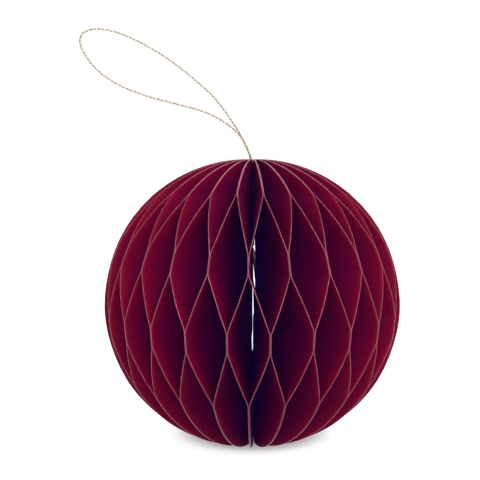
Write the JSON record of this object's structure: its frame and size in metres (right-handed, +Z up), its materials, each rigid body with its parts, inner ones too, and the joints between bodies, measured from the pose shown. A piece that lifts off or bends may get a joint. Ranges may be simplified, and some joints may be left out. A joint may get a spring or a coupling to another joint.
{
  "type": "paper honeycomb ball",
  "caption": "Hanging paper ball of half-disc leaves glued in alternating bands, with gilt edges, a folding spine, a magnetic seam and a cord loop.",
  "frame": {"origin": "middle of the open ball, on the axis of its spine, halfway between the poles", "axes": "+Z up the spine towards the hanging cord, -Y the front, +Y the back, where the seam between the first and the last leaf is"},
  "size_m": [0.0981, 0.0906, 0.1283],
  "materials": {
    "leaf_paper": "matt burgundy paper with gilt cut edges",
    "nickel_magnet": "bright nickel plating",
    "gold_cord": "twisted two-ply metallic gold thread"
  },
  "bodies": {
    "leaf_01": {"leaf_01": "leaf_paper", "magnets_first_leaf": "nickel_magnet", "hanging_cord": "gold_cord", "cord_knot": "gold_cord"},
    "leaf_02": {"leaf_02": "leaf_paper"},
    "leaf_03": {"leaf_03": "leaf_paper"},
    "leaf_04": {"leaf_04": "leaf_paper"},
    "leaf_05": {"leaf_05": "leaf_paper"},
    "leaf_06": {"leaf_06": "leaf_paper"},
    "leaf_07": {"leaf_07": "leaf_paper"},
    "leaf_08": {"leaf_08": "leaf_paper"},
    "leaf_09": {"leaf_09": "leaf_paper"},
    "leaf_10": {"leaf_10": "leaf_paper"},
    "leaf_11": {"leaf_11": "leaf_paper"},
    "leaf_12": {"leaf_12": "leaf_paper"},
    "leaf_13": {"leaf_13": "leaf_paper"},
    "leaf_14": {"leaf_14": "leaf_paper"},
    "leaf_15": {"leaf_15": "leaf_paper"},
    "leaf_16": {"leaf_16": "leaf_paper"},
    "leaf_17": {"leaf_17": "leaf_paper"},
    "leaf_18": {"leaf_18": "leaf_paper"},
    "leaf_19": {"leaf_19": "leaf_paper"},
    "leaf_20": {"leaf_20": "leaf_paper"},
    "leaf_21": {"leaf_21": "leaf_paper"},
    "leaf_22": {"leaf_22": "leaf_paper"},
    "leaf_23": {"leaf_23": "leaf_paper"},
    "leaf_24": {"leaf_24": "leaf_paper"},
    "leaf_25": {"leaf_25": "leaf_paper"},
    "leaf_26": {"leaf_26": "leaf_paper"},
    "leaf_27": {"leaf_27": "leaf_paper"},
    "leaf_28": {"leaf_28": "leaf_paper"},
    "leaf_29": {"leaf_29": "leaf_paper"},
    "leaf_30": {"leaf_30": "leaf_paper"},
    "leaf_31": {"leaf_31": "leaf_paper"},
    "leaf_32": {"leaf_32": "leaf_paper"},
    "leaf_33": {"leaf_33": "leaf_paper"},
    "leaf_34": {"leaf_34": "leaf_paper"},
    "leaf_35": {"leaf_35": "leaf_paper"},
    "leaf_36": {"leaf_36": "leaf_paper"},
    "leaf_37": {"leaf_37": "leaf_paper"},
    "leaf_38": {"leaf_38": "leaf_paper"},
    "leaf_39": {"leaf_39": "leaf_paper"},
    "leaf_40": {"leaf_40": "leaf_paper"},
    "leaf_41": {"leaf_41": "leaf_paper"},
    "leaf_42": {"leaf_42": "leaf_paper"},
    "leaf_43": {"leaf_43": "leaf_paper"},
    "leaf_44": {"leaf_44": "leaf_paper"},
    "leaf_45": {"leaf_45": "leaf_paper"},
    "leaf_46": {"leaf_46": "leaf_paper"},
    "leaf_47": {"leaf_47": "leaf_paper"},
    "leaf_48": {"leaf_48": "leaf_paper", "magnets_last_leaf": "nickel_magnet"}
  },
  "joints": [
    {"name": "spine_fold_01", "type": "hinge", "parent": "leaf_01", "child": "leaf_02", "pos_m": [-0.00026, 0.00197, 0], "axis": [0, 0, 1], "range_deg": [-10, 0], "deforming": ["leaf_01", "leaf_02"]},
    {"name": "spine_fold_02", "type": "hinge", "parent": "leaf_02", "child": "leaf_03", "pos_m": [-0.00051, 0.00192, 0], "axis": [0, 0, 1], "range_deg": [-7.5, 0], "deforming": ["leaf_03"]},
    {"name": "spine_fold_03", "type": "hinge", "parent": "leaf_03", "child": "leaf_04", "pos_m": [-0.00076, 0.00184, 0], "axis": [0, 0, 1], "range_deg": [-7.5, 0], "deforming": ["leaf_04"]},
    {"name": "spine_fold_04", "type": "hinge", "parent": "leaf_04", "child": "leaf_05", "pos_m": [-0.00099, 0.00172, 0], "axis": [0, 0, 1], "range_deg": [-7.5, 0], "deforming": ["leaf_05"]},
    {"name": "spine_fold_05", "type": "hinge", "parent": "leaf_05", "child": "leaf_06", "pos_m": [-0.00121, 0.00158, 0], "axis": [0, 0, 1], "range_deg": [-7.5, 0], "deforming": ["leaf_06"]},
    {"name": "spine_fold_06", "type": "hinge", "parent": "leaf_06", "child": "leaf_07", "pos_m": [-0.00141, 0.00141, 0], "axis": [0, 0, 1], "range_deg": [-7.5, 0], "deforming": ["leaf_07"]},
    {"name": "spine_fold_07", "type": "hinge", "parent": "leaf_07", "child": "leaf_08", "pos_m": [-0.00158, 0.00121, 0], "axis": [0, 0, 1], "range_deg": [-7.5, 0], "deforming": ["leaf_08"]},
    {"name": "spine_fold_08", "type": "hinge", "parent": "leaf_08", "child": "leaf_09", "pos_m": [-0.00172, 0.00099, 0], "axis": [0, 0, 1], "range_deg": [-7.5, 0], "deforming": ["leaf_09"]},
    {"name": "spine_fold_09", "type": "hinge", "parent": "leaf_09", "child": "leaf_10", "pos_m": [-0.00184, 0.00076, 0], "axis": [0, 0, 1], "range_deg": [-7.5, 0], "deforming": ["leaf_10"]},
    {"name": "spine_fold_10", "type": "hinge", "parent": "leaf_10", "child": "leaf_11", "pos_m": [-0.00192, 0.00051, 0], "axis": [0, 0, 1], "range_deg": [-7.5, 0], "deforming": ["leaf_11"]},
    {"name": "spine_fold_11", "type": "hinge", "parent": "leaf_11", "child": "leaf_12", "pos_m": [-0.00197, 0.00026, 0], "axis": [0, 0, 1], "range_deg": [-7.5, 0], "deforming": ["leaf_12"]},
    {"name": "spine_fold_12", "type": "hinge", "parent": "leaf_12", "child": "leaf_13", "pos_m": [-0.00199, 0, 0], "axis": [0, 0, 1], "range_deg": [-7.5, 0], "deforming": ["leaf_13"]},
    {"name": "spine_fold_13", "type": "hinge", "parent": "leaf_13", "child": "leaf_14", "pos_m": [-0.00197, -0.00026, 0], "axis": [0, 0, 1], "range_deg": [-7.5, 0], "deforming": ["leaf_14"]},
    {"name": "spine_fold_14", "type": "hinge", "parent": "leaf_14", "child": "leaf_15", "pos_m": [-0.00192, -0.00051, 0], "axis": [0, 0, 1], "range_deg": [-7.5, 0], "deforming": ["leaf_15"]},
    {"name": "spine_fold_15", "type": "hinge", "parent": "leaf_15", "child": "leaf_16", "pos_m": [-0.00184, -0.00076, 0], "axis": [0, 0, 1], "range_deg": [-7.5, 0], "deforming": ["leaf_16"]},
    {"name": "spine_fold_16", "type": "hinge", "parent": "leaf_16", "child": "leaf_17", "pos_m": [-0.00172, -0.00099, 0], "axis": [0, 0, 1], "range_deg": [-7.5, 0], "deforming": ["leaf_17"]},
    {"name": "spine_fold_17", "type": "hinge", "parent": "leaf_17", "child": "leaf_18", "pos_m": [-0.00158, -0.00121, 0], "axis": [0, 0, 1], "range_deg": [-7.5, 0], "deforming": ["leaf_18"]},
    {"name": "spine_fold_18", "type": "hinge", "parent": "leaf_18", "child": "leaf_19", "pos_m": [-0.00141, -0.00141, 0], "axis": [0, 0, 1], "range_deg": [-7.5, 0], "deforming": ["leaf_19"]},
    {"name": "spine_fold_19", "type": "hinge", "parent": "leaf_19", "child": "leaf_20", "pos_m": [-0.00121, -0.00158, 0], "axis": [0, 0, 1], "range_deg": [-7.5, 0], "deforming": ["leaf_20"]},
    {"name": "spine_fold_20", "type": "hinge", "parent": "leaf_20", "child": "leaf_21", "pos_m": [-0.00099, -0.00172, 0], "axis": [0, 0, 1], "range_deg": [-7.5, 0], "deforming": ["leaf_21"]},
    {"name": "spine_fold_21", "type": "hinge", "parent": "leaf_21", "child": "leaf_22", "pos_m": [-0.00076, -0.00184, 0], "axis": [0, 0, 1], "range_deg": [-7.5, 0], "deforming": ["leaf_22"]},
    {"name": "spine_fold_22", "type": "hinge", "parent": "leaf_22", "child": "leaf_23", "pos_m": [-0.00051, -0.00192, 0], "axis": [0, 0, 1], "range_deg": [-7.5, 0], "deforming": ["leaf_23"]},
    {"name": "spine_fold_23", "type": "hinge", "parent": "leaf_23", "child": "leaf_24", "pos_m": [-0.00026, -0.00197, 0], "axis": [0, 0, 1], "range_deg": [-7.5, 0], "deforming": ["leaf_24"]},
    {"name": "spine_fold_24", "type": "hinge", "parent": "leaf_24", "child": "leaf_25", "pos_m": [0, -0.00199, 0], "axis": [0, 0, 1], "range_deg": [-7.5, 0], "deforming": ["leaf_25"]},
    {"name": "spine_fold_25", "type": "hinge", "parent": "leaf_25", "child": "leaf_26", "pos_m": [0.00026, -0.00197, 0], "axis": [0, 0, 1], "range_deg": [-7.5, 0], "deforming": ["leaf_26"]},
    {"name": "spine_fold_26", "type": "hinge", "parent": "leaf_26", "child": "leaf_27", "pos_m": [0.00051, -0.00192, 0], "axis": [0, 0, 1], "range_deg": [-7.5, 0], "deforming": ["leaf_27"]},
    {"name": "spine_fold_27", "type": "hinge", "parent": "leaf_27", "child": "leaf_28", "pos_m": [0.00076, -0.00184, 0], "axis": [0, 0, 1], "range_deg": [-7.5, 0], "deforming": ["leaf_28"]},
    {"name": "spine_fold_28", "type": "hinge", "parent": "leaf_28", "child": "leaf_29", "pos_m": [0.00099, -0.00172, 0], "axis": [0, 0, 1], "range_deg": [-7.5, 0], "deforming": ["leaf_29"]},
    {"name": "spine_fold_29", "type": "hinge", "parent": "leaf_29", "child": "leaf_30", "pos_m": [0.00121, -0.00158, 0], "axis": [0, 0, 1], "range_deg": [-7.5, 0], "deforming": ["leaf_30"]},
    {"name": "spine_fold_30", "type": "hinge", "parent": "leaf_30", "child": "leaf_31", "pos_m": [0.00141, -0.00141, 0], "axis": [0, 0, 1], "range_deg": [-7.5, 0], "deforming": ["leaf_31"]},
    {"name": "spine_fold_31", "type": "hinge", "parent": "leaf_31", "child": "leaf_32", "pos_m": [0.00158, -0.00121, 0], "axis": [0, 0, 1], "range_deg": [-7.5, 0], "deforming": ["leaf_32"]},
    {"name": "spine_fold_32", "type": "hinge", "parent": "leaf_32", "child": "leaf_33", "pos_m": [0.00172, -0.00099, 0], "axis": [0, 0, 1], "range_deg": [-7.5, 0], "deforming": ["leaf_33"]},
    {"name": "spine_fold_33", "type": "hinge", "parent": "leaf_33", "child": "leaf_34", "pos_m": [0.00184, -0.00076, 0], "axis": [0, 0, 1], "range_deg": [-7.5, 0], "deforming": ["leaf_34"]},
    {"name": "spine_fold_34", "type": "hinge", "parent": "leaf_34", "child": "leaf_35", "pos_m": [0.00192, -0.00051, 0], "axis": [0, 0, 1], "range_deg": [-7.5, 0], "deforming": ["leaf_35"]},
    {"name": "spine_fold_35", "type": "hinge", "parent": "leaf_35", "child": "leaf_36", "pos_m": [0.00197, -0.00026, 0], "axis": [0, 0, 1], "range_deg": [-7.5, 0], "deforming": ["leaf_36"]},
    {"name": "spine_fold_36", "type": "hinge", "parent": "leaf_36", "child": "leaf_37", "pos_m": [0.00199, 0, 0], "axis": [0, 0, 1], "range_deg": [-7.5, 0], "deforming": ["leaf_37"]},
    {"name": "spine_fold_37", "type": "hinge", "parent": "leaf_37", "child": "leaf_38", "pos_m": [0.00197, 0.00026, 0], "axis": [0, 0, 1], "range_deg": [-7.5, 0], "deforming": ["leaf_38"]},
    {"name": "spine_fold_38", "type": "hinge", "parent": "leaf_38", "child": "leaf_39", "pos_m": [0.00192, 0.00051, 0], "axis": [0, 0, 1], "range_deg": [-7.5, 0], "deforming": ["leaf_39"]},
    {"name": "spine_fold_39", "type": "hinge", "parent": "leaf_39", "child": "leaf_40", "pos_m": [0.00184, 0.00076, 0], "axis": [0, 0, 1], "range_deg": [-7.5, 0], "deforming": ["leaf_40"]},
    {"name": "spine_fold_40", "type": "hinge", "parent": "leaf_40", "child": "leaf_41", "pos_m": [0.00172, 0.00099, 0], "axis": [0, 0, 1], "range_deg": [-7.5, 0], "deforming": ["leaf_41"]},
    {"name": "spine_fold_41", "type": "hinge", "parent": "leaf_41", "child": "leaf_42", "pos_m": [0.00158, 0.00121, 0], "axis": [0, 0, 1], "range_deg": [-7.5, 0], "deforming": ["leaf_42"]},
    {"name": "spine_fold_42", "type": "hinge", "parent": "leaf_42", "child": "leaf_43", "pos_m": [0.00141, 0.00141, 0], "axis": [0, 0, 1], "range_deg": [-7.5, 0], "deforming": ["leaf_43"]},
    {"name": "spine_fold_43", "type": "hinge", "parent": "leaf_43", "child": "leaf_44", "pos_m": [0.00121, 0.00158, 0], "axis": [0, 0, 1], "range_deg": [-7.5, 0], "deforming": ["leaf_44"]},
    {"name": "spine_fold_44", "type": "hinge", "parent": "leaf_44", "child": "leaf_45", "pos_m": [0.00099, 0.00172, 0], "axis": [0, 0, 1], "range_deg": [-7.5, 0], "deforming": ["leaf_45"]},
    {"name": "spine_fold_45", "type": "hinge", "parent": "leaf_45", "child": "leaf_46", "pos_m": [0.00076, 0.00184, 0], "axis": [0, 0, 1], "range_deg": [-7.5, 0], "deforming": ["leaf_46"]},
    {"name": "spine_fold_46", "type": "hinge", "parent": "leaf_46", "child": "leaf_47", "pos_m": [0.00051, 0.00192, 0], "axis": [0, 0, 1], "range_deg": [-7.5, 0], "deforming": ["leaf_47"]},
    {"name": "spine_fold_47", "type": "hinge", "parent": "leaf_47", "child": "leaf_48", "pos_m": [0.00026, 0.00197, 0], "axis": [0, 0, 1], "range_deg": [-10, 0], "deforming": ["leaf_48"]}
  ],
  "couplings": [
    {"joint": "spine_fold_02", "follows": "spine_fold_01", "ratio": 0.75},
    {"joint": "spine_fold_03", "follows": "spine_fold_01", "ratio": 0.75},
    {"joint": "spine_fold_04", "follows": "spine_fold_01", "ratio": 0.75},
    {"joint": "spine_fold_05", "follows": "spine_fold_01", "ratio": 0.75},
    {"joint": "spine_fold_06", "follows": "spine_fold_01", "ratio": 0.75},
    {"joint": "spine_fold_07", "follows": "spine_fold_01", "ratio": 0.75},
    {"joint": "spine_fold_08", "follows": "spine_fold_01", "ratio": 0.75},
    {"joint": "spine_fold_09", "follows": "spine_fold_01", "ratio": 0.75},
    {"joint": "spine_fold_10", "follows": "spine_fold_01", "ratio": 0.75},
    {"joint": "spine_fold_11", "follows": "spine_fold_01", "ratio": 0.75},
    {"joint": "spine_fold_12", "follows": "spine_fold_01", "ratio": 0.75},
    {"joint": "spine_fold_13", "follows": "spine_fold_01", "ratio": 0.75},
    {"joint": "spine_fold_14", "follows": "spine_fold_01", "ratio": 0.75},
    {"joint": "spine_fold_15", "follows": "spine_fold_01", "ratio": 0.75},
    {"joint": "spine_fold_16", "follows": "spine_fold_01", "ratio": 0.75},
    {"joint": "spine_fold_17", "follows": "spine_fold_01", "ratio": 0.75},
    {"joint": "spine_fold_18", "follows": "spine_fold_01", "ratio": 0.75},
    {"joint": "spine_fold_19", "follows": "spine_fold_01", "ratio": 0.75},
    {"joint": "spine_fold_20", "follows": "spine_fold_01", "ratio": 0.75},
    {"joint": "spine_fold_21", "follows": "spine_fold_01", "ratio": 0.75},
    {"joint": "spine_fold_22", "follows": "spine_fold_01", "ratio": 0.75},
    {"joint": "spine_fold_23", "follows": "spine_fold_01", "ratio": 0.75},
    {"joint": "spine_fold_24", "follows": "spine_fold_01", "ratio": 0.75},
    {"joint": "spine_fold_25", "follows": "spine_fold_01", "ratio": 0.75},
    {"joint": "spine_fold_26", "follows": "spine_fold_01", "ratio": 0.75},
    {"joint": "spine_fold_27", "follows": "spine_fold_01", "ratio": 0.75},
    {"joint": "spine_fold_28", "follows": "spine_fold_01", "ratio": 0.75},
    {"joint": "spine_fold_29", "follows": "spine_fold_01", "ratio": 0.75},
    {"joint": "spine_fold_30", "follows": "spine_fold_01", "ratio": 0.75},
    {"joint": "spine_fold_31", "follows": "spine_fold_01", "ratio": 0.75},
    {"joint": "spine_fold_32", "follows": "spine_fold_01", "ratio": 0.75},
    {"joint": "spine_fold_33", "follows": "spine_fold_01", "ratio": 0.75},
    {"joint": "spine_fold_34", "follows": "spine_fold_01", "ratio": 0.75},
    {"joint": "spine_fold_35", "follows": "spine_fold_01", "ratio": 0.75},
    {"joint": "spine_fold_36", "follows": "spine_fold_01", "ratio": 0.75},
    {"joint": "spine_fold_37", "follows": "spine_fold_01", "ratio": 0.75},
    {"joint": "spine_fold_38", "follows": "spine_fold_01", "ratio": 0.75},
    {"joint": "spine_fold_39", "follows": "spine_fold_01", "ratio": 0.75},
    {"joint": "spine_fold_40", "follows": "spine_fold_01", "ratio": 0.75},
    {"joint": "spine_fold_41", "follows": "spine_fold_01", "ratio": 0.75},
    {"joint": "spine_fold_42", "follows": "spine_fold_01", "ratio": 0.75},
    {"joint": "spine_fold_43", "follows": "spine_fold_01", "ratio": 0.75},
    {"joint": "spine_fold_44", "follows": "spine_fold_01", "ratio": 0.75},
    {"joint": "spine_fold_45", "follows": "spine_fold_01", "ratio": 0.75},
    {"joint": "spine_fold_46", "follows": "spine_fold_01", "ratio": 0.75},
    {"joint": "spine_fold_47", "follows": "spine_fold_01", "ratio": 1}
  ]
}
